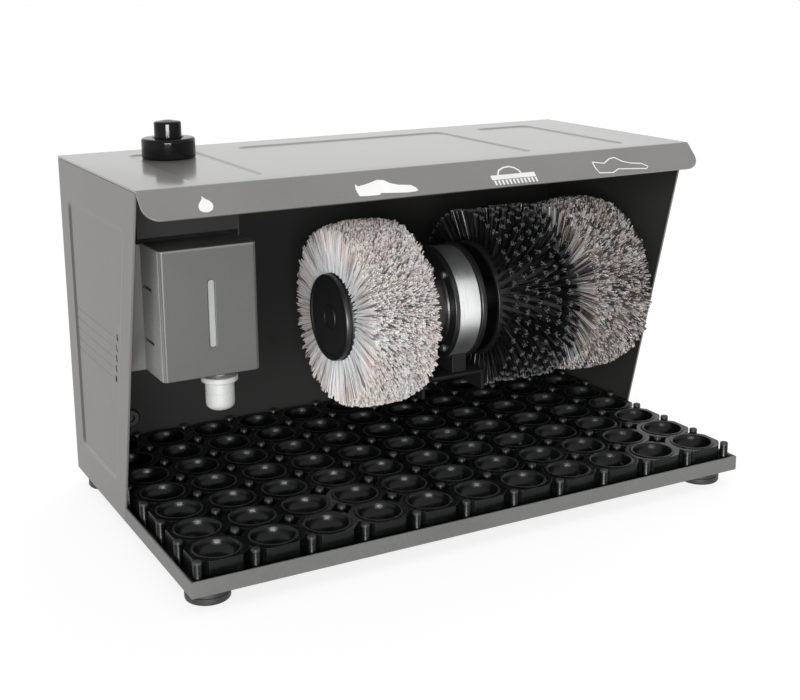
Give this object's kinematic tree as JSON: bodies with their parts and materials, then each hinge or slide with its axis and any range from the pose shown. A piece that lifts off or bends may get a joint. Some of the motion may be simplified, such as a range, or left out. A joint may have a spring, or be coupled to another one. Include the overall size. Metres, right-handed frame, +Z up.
{
  "type": "shoe shine machine",
  "caption": "Electric shoe shine machine: open-fronted steel housing with rotary polishing and cleaning brushes, a cream dispenser, a start button and a studded rubber floor mat.",
  "frame": {"origin": "centre of the bounding box's base, on the plane that the four rubber feet stand on", "axes": "+Z up; the open front faces -Y; +X runs along the brush shaft, from the cream dispenser towards the right-hand brush"},
  "size_m": [0.56, 0.333, 0.3603],
  "materials": {
    "grey_steel": "warm mid-grey powder coat, semi-gloss",
    "dark_steel": "dark grey powder coat, satin",
    "cover_paint": "mid-grey powder coat, satin",
    "black_paint": "black enamel, satin",
    "bright_aluminium": "bright turned band",
    "zinc": "zinc plated",
    "copper": "enamelled winding wire, varnished",
    "black_plastic": "black moulded plastic, satin",
    "black_gloss_plastic": "black moulded plastic, glossy",
    "white_plastic": "white moulded plastic, satin",
    "rubber": "black rubber with a soft sheen",
    "light_bristle": "fine off-white polishing bristle, flecked",
    "grey_bristle": "fine mixed grey and beige polishing bristle",
    "black_bristle": "stiff glossy black nylon tufts"
  },
  "bodies": {
    "housing": {"base_tray": "grey_steel", "foot_front_left": "rubber", "foot_front_right": "rubber", "foot_rear_left": "rubber", "foot_rear_right": "rubber", "floor_mat": "rubber", "side_panel_left": "grey_steel", "side_panel_right": "grey_steel", "back_panel": "grey_steel", "top_cover": "grey_steel", "cord_inlet": "rubber", "stator_core": "bright_aluminium", "stator_winding": "copper", "end_shield_left": "black_paint", "end_shield_right": "black_paint", "bearing_left": "zinc", "bearing_right": "zinc", "tie_bolt_1": "zinc", "tie_bolt_2": "zinc", "tie_bolt_3": "zinc", "tie_bolt_4": "zinc", "motor_foot": "black_paint", "motor_bracket": "dark_steel", "bracket_bolt_1": "zinc", "bracket_bolt_2": "zinc", "bracket_bolt_3": "zinc", "bracket_bolt_4": "zinc", "control_box": "dark_steel", "switch_block": "black_plastic", "timer_module": "black_plastic", "run_capacitor": "zinc", "button_collar": "black_gloss_plastic", "button_locknut": "zinc", "button_spring": "zinc", "dispenser_bracket": "dark_steel", "cream_tank": "white_plastic", "valve_spring": "zinc"},
    "brush_rotor": {"motor_shaft": "zinc", "rotor_core": "zinc", "brush_hub_left": "black_plastic", "brush_hub_right": "black_plastic", "hub_nut_left": "zinc", "hub_nut_right": "zinc", "hub_cap_left": "black_plastic", "hub_cap_right": "black_plastic", "cleaning_drum": "black_plastic", "spacer_left": "zinc", "spacer_middle": "zinc", "spacer_right": "zinc", "bristles_left": "light_bristle", "bristles_right": "grey_bristle", "bristles_black": "black_bristle"},
    "start_button": {"button_cap": "black_gloss_plastic"},
    "cream_valve": {"valve_nozzle": "white_plastic"},
    "front_cover": {"dispenser_cover": "cover_paint"},
    "cream_lid": {"tank_lid": "black_plastic"}
  },
  "joints": [
    {"name": "brush_spin", "type": "hinge", "parent": "housing", "child": "brush_rotor", "pos_m": [0, 0.0235, 0.171], "axis": [1, 0, 0], "continuous": true},
    {"name": "button_press", "type": "slide", "parent": "housing", "child": "start_button", "axis": [0, 0, -1], "range_m": [0, 0.004], "stiffness_N_per_m": 400, "springref_m": -0.004, "deforming": ["button_spring"]},
    {"name": "valve_lift", "type": "slide", "parent": "housing", "child": "cream_valve", "axis": [0, 0, 1], "range_m": [0, 0.006], "stiffness_N_per_m": 300, "springref_m": -0.004, "deforming": ["valve_spring"]},
    {"name": "cover_pull", "type": "slide", "parent": "housing", "child": "front_cover", "axis": [0, -1, 0], "range_m": [0, 0.055]},
    {"name": "lid_lift", "type": "slide", "parent": "housing", "child": "cream_lid", "axis": [0, 0, 1], "range_m": [0, 0.012]}
  ]
}
